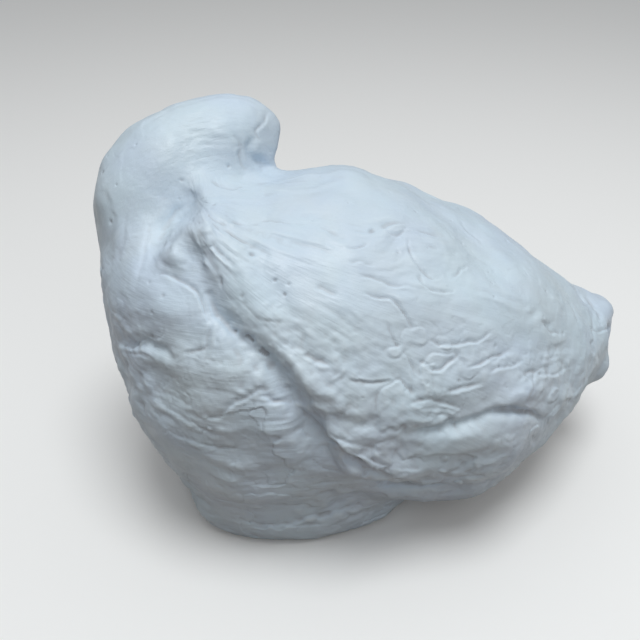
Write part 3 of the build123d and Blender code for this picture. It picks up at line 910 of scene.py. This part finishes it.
def buildPiece(name):
    piece = skinPieces[name]
    chosen = np.flatnonzero(labels == list(skinPieces).index(name))
    each = len(faces) // len(firstFaces)
    outer = faces[(chosen[:, None] * each + np.arange(each)).ravel()]
    coarse = firstFaces[chosen]
    used, inside = np.unique(outer), np.unique(coarse)
    place = np.full(len(points), -1)
    place[used] = np.arange(len(used))
    insidePlace = np.full(len(firstPoints), -1)
    insidePlace[inside] = len(used) + np.arange(len(inside))
    inner = points[inside] - firstNormals[inside] * piece["thick"] * mm
    inner[:, 2] = np.maximum(inner[:, 2], rest["innerAbove"] * mm)
    shown = place[outer].tolist()
    hidden = insidePlace[coarse[:, ::-1]].tolist() + wallFaces(coarse, place, insidePlace)
    mesh = bpy.data.meshes.new(name + "_skin")
    mesh.from_pydata(np.concatenate([points[used], inner]).tolist(), [], shown + hidden)
    mesh.update()
    flat = np.zeros(len(mesh.polygons) * 3)
    mesh.polygons.foreach_get("normal", flat)
    counts = np.array([len(polygon) for polygon in hidden])
    hiddenNormals = np.repeat(flat.reshape(-1, 3)[len(shown):], counts, axis=0)
    mesh.polygons.foreach_set("use_smooth", np.ones(len(mesh.polygons), bool))
    mesh.normals_split_custom_set(np.concatenate([normals[outer.ravel()], hiddenNormals]).tolist())
    # the crease measure, which paints shade in the creases and highlight on the ridges; none on the
    # inner faces
    deep = np.concatenate([hollow[used], np.zeros(len(inside))])
    keepValues(mesh, "hollow", "FLOAT", "value", deep)
    along = brushAt[piece["brush"]][np.concatenate([used, inside])]
    keepValues(mesh, "brush", "FLOAT_VECTOR", "vector", along)
    made = newObject(name + "_skin", mesh)
    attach(made, "root")
    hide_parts(name)
    print("piece", name, len(shown) * 2 + int((counts - 2).sum()), "triangles")
    return made


plasterPieces = [buildPiece(name) for name in skinPieces]


def newGroup(name, output, **numbers):  # takes a place and named numbers, gives one number
    group = bpy.data.node_groups.new(name, "ShaderNodeTree")
    group.interface.new_socket("Vector", in_out="INPUT", socket_type="NodeSocketVector")
    for label, number in numbers.items():
        socket = group.interface.new_socket(label, in_out="INPUT", socket_type="NodeSocketFloat")
        socket.default_value = number
    group.interface.new_socket(output, in_out="OUTPUT", socket_type="NodeSocketFloat")
    return group, group.nodes.new("NodeGroupInput"), group.nodes.new("NodeGroupOutput")


def setOrLink(tree, socket, value):
    if isinstance(value, (int, float, tuple)):
        socket.default_value = value
    else:
        tree.links.new(value, socket)


def addNoise(tree, vector, scale, detail, rough=0.55):
    noise = tree.nodes.new("ShaderNodeTexNoise")
    noise.inputs["Detail"].default_value = detail
    noise.inputs["Roughness"].default_value = rough
    tree.links.new(vector, noise.inputs["Vector"])
    setOrLink(tree, noise.inputs["Scale"], scale)
    return noise.outputs["Fac"]


def addRange(tree, value, low, high, outLow=0.0, outHigh=1.0):
    node = tree.nodes.new("ShaderNodeMapRange")
    tree.links.new(value, node.inputs["Value"])
    labels = ("From Min", "From Max", "To Min", "To Max")
    for label, number in zip(labels, (low, high, outLow, outHigh)):
        node.inputs[label].default_value = number
    return node.outputs["Result"]


def addMix(tree, factor, first, second):
    node = tree.nodes.new("ShaderNodeMix")
    node.data_type = "RGBA"
    tree.links.new(factor, node.inputs["Factor"])
    setOrLink(tree, node.inputs["A"], first)
    setOrLink(tree, node.inputs["B"], second)
    return node.outputs["Result"]


def addMath(tree, kind, first, second):
    node = tree.nodes.new("ShaderNodeMath")
    node.operation = kind
    setOrLink(tree, node.inputs[0], first)
    setOrLink(tree, node.inputs[1], second)
    return node.outputs[0]


# bubbles in the grain and patches of colour; scales are per metre
effects = {"bubble": 420, "bubbleEdge": 0.16, "bubblePatch": 60, "bubblePatchEdge": (0.52, 0.66),
           "cloudEdge": (0.38, 0.66)}


def grainGroup():  # height of fine grain and small bubbles
    group, given, result = newGroup("fineGrain", "Height", Size=1400.0, Bubbles=0.5)
    fine = addNoise(group, given.outputs["Vector"], given.outputs["Size"], detail=3, rough=0.6)
    cells = group.nodes.new("ShaderNodeTexVoronoi")
    cells.inputs["Scale"].default_value = effects["bubble"]
    group.links.new(given.outputs["Vector"], cells.inputs["Vector"])
    bubble = addRange(group, cells.outputs["Distance"], 0.0, effects["bubbleEdge"], -1.0, 0.0)
    patch = addNoise(group, given.outputs["Vector"], effects["bubblePatch"], detail=2)
    patch = addRange(group, patch, *effects["bubblePatchEdge"])
    patch = addMath(group, "MULTIPLY", patch, given.outputs["Bubbles"])
    spots = addMath(group, "MULTIPLY", bubble, patch)
    group.links.new(addMath(group, "ADD", fine, spots), result.inputs["Height"])
    return group


def mottleGroup():  # cloudy patches from 0 to 1
    group, given, result = newGroup("mottle", "Mask", Size=30.0)
    cloud = addNoise(group, given.outputs["Vector"], given.outputs["Size"], detail=4, rough=0.6)
    group.links.new(addRange(group, cloud, *effects["cloudEdge"]), result.inputs["Mask"])
    return group


def brushGroup():  # height of fine lines along the strokes
    group, given, result = newGroup("brushLines", "Height", Spacing=0.6, Length=9.0)
    apart = group.nodes.new("ShaderNodeSeparateXYZ")
    group.links.new(given.outputs["Vector"], apart.inputs["Vector"])
    whole = group.nodes.new("ShaderNodeCombineXYZ")
    for label, size in (("X", "Spacing"), ("Y", "Spacing"), ("Z", "Length")):
        along = addMath(group, "DIVIDE", apart.outputs[label], given.outputs[size])
        group.links.new(along, whole.inputs[label])
    lines = addNoise(group, whole.outputs["Vector"], 1.0, detail=2, rough=0.6)
    group.links.new(lines, result.inputs["Height"])
    return group


fineGrain, mottle, brushLines = grainGroup(), mottleGroup(), brushGroup()


def useGroup(tree, group, vector, **values):
    node = tree.nodes.new("ShaderNodeGroup")
    node.node_tree = group
    tree.links.new(vector, node.inputs["Vector"])
    for label, value in values.items():
        node.inputs[label].default_value = value
    return node.outputs[0]


def newMaterial(name):
    material = bpy.data.materials.new(name)
    material.use_nodes = True
    tree = material.node_tree
    place = tree.nodes.new("ShaderNodeTexCoord").outputs["Object"]
    return material, tree, tree.nodes["Principled BSDF"], place


def readValue(tree, name, output):
    node = tree.nodes.new("ShaderNodeAttribute")
    node.attribute_name = name
    return node.outputs[output]


def setFinish(tree, shader, colour, roughness, height, strength, distance):  # in millimetres
    tree.links.new(colour, shader.inputs["Base Color"])
    setOrLink(tree, shader.inputs["Roughness"], roughness)
    bump = tree.nodes.new("ShaderNodeBump")
    bump.inputs["Strength"].default_value = strength
    bump.inputs["Distance"].default_value = distance * mm
    tree.links.new(height, bump.inputs["Height"])
    tree.links.new(bump.outputs["Normal"], shader.inputs["Normal"])


# a finish has its colours, sizes per metre, and its bump: strength, and depth in millimetres
plaster = {
    "white": (0.565, 0.680, 0.760, 1),
    "cool": (0.530, 0.610, 0.745, 1), "coolSize": 26.0, "coolShare": 0.55,
    "cream": (0.620, 0.685, 0.705, 1), "creamSize": 41.0, "creamShare": 0.30,
    # painted highlight: a lighter colour on the ridges, where light falls
    "paintedHighlight": (0.640, 0.735, 0.795, 1), "paintedHighlightRange": (-0.1, -0.9, 0.0, 0.6),
    # painted shade: a dark grey in the creases and hollows, where shade falls
    "hollow": (0.310, 0.310, 0.325, 1), "hollowRange": (0.12, 1.0, 0.0, 0.6),
    "roughness": (0.40, 0.60), "polishSize": 90.0, "sheen": 0.42,
    "lines": {"Spacing": 0.72, "Length": 11.0},
    "grain": {"Size": 1500.0, "Bubbles": 0.6}, "grainShare": 0.45,
    "bump": (0.8, 0.16),
}


def plasterFinish():
    material, tree, shader, place = newMaterial("handSmoothedPlaster")
    cool = useGroup(tree, mottle, place, Size=plaster["coolSize"])
    cream = useGroup(tree, mottle, place, Size=plaster["creamSize"])
    cool = addMath(tree, "MULTIPLY", cool, plaster["coolShare"])
    cream = addMath(tree, "MULTIPLY", cream, plaster["creamShare"])
    colour = addMix(tree, cool, plaster["white"], plaster["cool"])
    colour = addMix(tree, cream, colour, plaster["cream"])
    # the crease measure paints highlight on the ridges and shade in the creases
    shadeAndHighlight = readValue(tree, "hollow", "Fac")
    for name in ("paintedHighlight", "hollow"):
        share = addRange(tree, shadeAndHighlight, *plaster[name + "Range"])
        colour = addMix(tree, share, colour, plaster[name])
    polish = useGroup(tree, mottle, place, Size=plaster["polishSize"])
    roughness = addRange(tree, polish, 0, 1, *plaster["roughness"])
    shader.inputs["Specular IOR Level"].default_value = plaster["sheen"]
    lines = useGroup(tree, brushLines, readValue(tree, "brush", "Vector"), **plaster["lines"])
    grain = useGroup(tree, fineGrain, place, **plaster["grain"])
    grain = addMath(tree, "MULTIPLY", grain, plaster["grainShare"])
    height = addMath(tree, "ADD", lines, grain)
    setFinish(tree, shader, colour, roughness, height, *plaster["bump"])
    return material


gauze = {"thread": (0.80, 0.80, 0.77, 1), "gap": (0.62, 0.62, 0.60, 1), "weave": 260.0,
         "uneven": 1.2, "roughness": 0.85, "bump": (0.6, 0.3)}


def gauzeFinish():
    material, tree, shader, place = newMaterial("plasteredGauze")
    threads = []
    for direction in ("X", "Z"):
        wave = tree.nodes.new("ShaderNodeTexWave")
        wave.bands_direction = direction
        wave.inputs["Scale"].default_value = gauze["weave"]
        wave.inputs["Distortion"].default_value = gauze["uneven"]
        tree.links.new(place, wave.inputs["Vector"])
        threads.append(wave.outputs["Fac"])
    mesh = addMath(tree, "MULTIPLY", *threads)
    colour = addMix(tree, mesh, gauze["thread"], gauze["gap"])
    setFinish(tree, shader, colour, gauze["roughness"], mesh, *gauze["bump"])
    return material


paper = {"light": (0.58, 0.57, 0.54, 1), "dark": (0.44, 0.43, 0.41, 1), "creases": 70.0,
         "creaseEdge": 0.2, "patches": 160.0, "roughness": 0.9, "bump": (0.8, 1.5)}


def paperFinish():
    material, tree, shader, place = newMaterial("crumpledPaper")
    folds = tree.nodes.new("ShaderNodeTexVoronoi")
    folds.feature = "DISTANCE_TO_EDGE"
    folds.inputs["Scale"].default_value = paper["creases"]
    tree.links.new(place, folds.inputs["Vector"])
    tone = useGroup(tree, mottle, place, Size=paper["patches"])
    colour = addMix(tree, tone, paper["light"], paper["dark"])
    crease = addRange(tree, folds.outputs["Distance"], 0.0, paper["creaseEdge"])
    setFinish(tree, shader, colour, paper["roughness"], crease, *paper["bump"])
    return material


wire = {"bright": (0.55, 0.56, 0.57, 1), "dull": (0.42, 0.43, 0.45, 1), "roughness": (0.34, 0.52),
        "patches": 220.0, "grain": 900.0, "bump": (0.2, 0.05)}


def wireFinish():
    material, tree, shader, place = newMaterial("galvanisedWire")
    tone = useGroup(tree, mottle, place, Size=wire["patches"])
    colour = addMix(tree, tone, wire["bright"], wire["dull"])
    roughness = addRange(tree, tone, 0, 1, *wire["roughness"])
    shader.inputs["Metallic"].default_value = 1.0
    grain = useGroup(tree, fineGrain, place, Size=wire["grain"], Bubbles=0.0)
    setFinish(tree, shader, colour, roughness, grain, *wire["bump"])
    return material


finishes = {"plaster": plasterFinish(), "bandage": gauzeFinish(), "paper": paperFinish(),
            "wire": wireFinish()}
for piece in plasterPieces:
    piece.data.materials.append(finishes["plaster"])
for part in frame["record"]["subparts"]:
    shape = nodes[part["node"]]
    shape.data.materials.clear()
    shape.data.materials.append(finishes[part["material_slot"]])
print("finishes given")

# floor, background and light, in metres; the floor gives back less to the figure than it shows
studio = {
    "floor": (0.89, 0.89, 0.88, 1),
    "givenBack": (0.19, 0.145, 0.12, 1),
    "floorAt": -0.0002,
    "floorReach": 4.0,
    "background": 1.0,
    "sky": (0.97, 0.985, 1, 1),
    "skyAbove": 0.58,
    "skyLevel": 0.12,
    "skyFull": 0.9,      # height of direction from which the sky is at its full strength
    "light": (0.97, 0.99, 1.0),
    "lampsAim": (0, 0, 0.06),
    "lamps": {
        "above": {"place": (0.06, -0.20, 1.1), "size": 0.5, "watts": 6.1},
        "front": {"place": (0.30, -1.0, 0.6), "size": 0.8, "watts": 1.5},
    },
}


def mixByRay(tree, kinds, given, shown, result):  # what the camera sees, and what lights the figure
    path = tree.nodes.new("ShaderNodeLightPath")
    share = path.outputs[kinds[0]]
    for kind in kinds[1:]:
        share = addMath(tree, "MAXIMUM", share, path.outputs[kind])
    mix = tree.nodes.new("ShaderNodeMixShader")
    tree.links.new(share, mix.inputs["Fac"])
    tree.links.new(given, mix.inputs[1])
    tree.links.new(shown, mix.inputs[2])
    tree.links.new(mix.outputs["Shader"], result.inputs["Surface"])


def addFloor():
    reach = studio["floorReach"]
    mesh = bpy.data.meshes.new("floor")
    corners = [(-reach, -reach, 0), (reach, -reach, 0), (reach, reach, 0), (-reach, reach, 0)]
    mesh.from_pydata(corners, [], [(0, 1, 2, 3)])
    floor = newObject("floor", mesh)
    floor.location.z = studio["floorAt"]
    material = bpy.data.materials.new("paleFloor")
    material.use_nodes = True
    tree = material.node_tree
    tree.nodes.remove(tree.nodes["Principled BSDF"])
    shown, given = (tree.nodes.new("ShaderNodeBsdfDiffuse") for _ in range(2))
    shown.inputs["Color"].default_value = studio["floor"]
    given.inputs["Color"].default_value = studio["givenBack"]
    mixByRay(tree, ["Is Camera Ray", "Is Glossy Ray"], given.outputs["BSDF"],
             shown.outputs["BSDF"], tree.nodes["Material Output"])
    mesh.materials.append(material)


def addWorld():
    world = bpy.data.worlds.new("studio")
    world.use_nodes = True
    tree = world.node_tree
    tree.nodes.clear()
    light, shown = (tree.nodes.new("ShaderNodeBackground") for _ in range(2))
    light.inputs["Color"].default_value = studio["sky"]
    apart = tree.nodes.new("ShaderNodeSeparateXYZ")
    direction = tree.nodes.new("ShaderNodeTexCoord").outputs["Generated"]
    tree.links.new(direction, apart.inputs["Vector"])
    rise = addRange(tree, apart.outputs["Z"], 0.0, studio["skyFull"], studio["skyLevel"],
                    studio["skyAbove"])
    tree.links.new(rise, light.inputs["Strength"])
    shown.inputs["Strength"].default_value = studio["background"]
    mixByRay(tree, ["Is Camera Ray"], light.outputs["Background"],
             shown.outputs["Background"], tree.nodes.new("ShaderNodeOutputWorld"))
    bpy.context.scene.world = world


def turnedTo(way):  # so that a lamp or a camera looks that way
    return Vector(way).to_track_quat("-Z", "Y").to_euler()


def addLamp(name, lamp):
    data = bpy.data.lights.new(name, "AREA")
    data.shape = "DISK"
    data.size = lamp["size"]
    data.energy = lamp["watts"]
    data.color = studio["light"]
    made = newObject(name, data)
    made.location = lamp["place"]
    made.rotation_euler = turnedTo(Vector(studio["lampsAim"]) - Vector(lamp["place"]))


def addCamera():
    data = bpy.data.cameras.new("photoView")
    data.lens = photoCamera["lens"]
    data.sensor_width = photoCamera["sensor"]
    data.clip_start, data.clip_end = photoCamera["clip"]
    camera = newObject("photoView", data)
    camera.location = photoCamera["place"]
    camera.rotation_euler = turnedTo(photoCamera["look"])
    bpy.context.scene.camera = camera


addFloor()
addWorld()
for name, lamp in studio["lamps"].items():
    addLamp(name, lamp)
addCamera()
bpy.context.scene.view_settings.view_transform = "Standard"
print("size kept, scene ready")
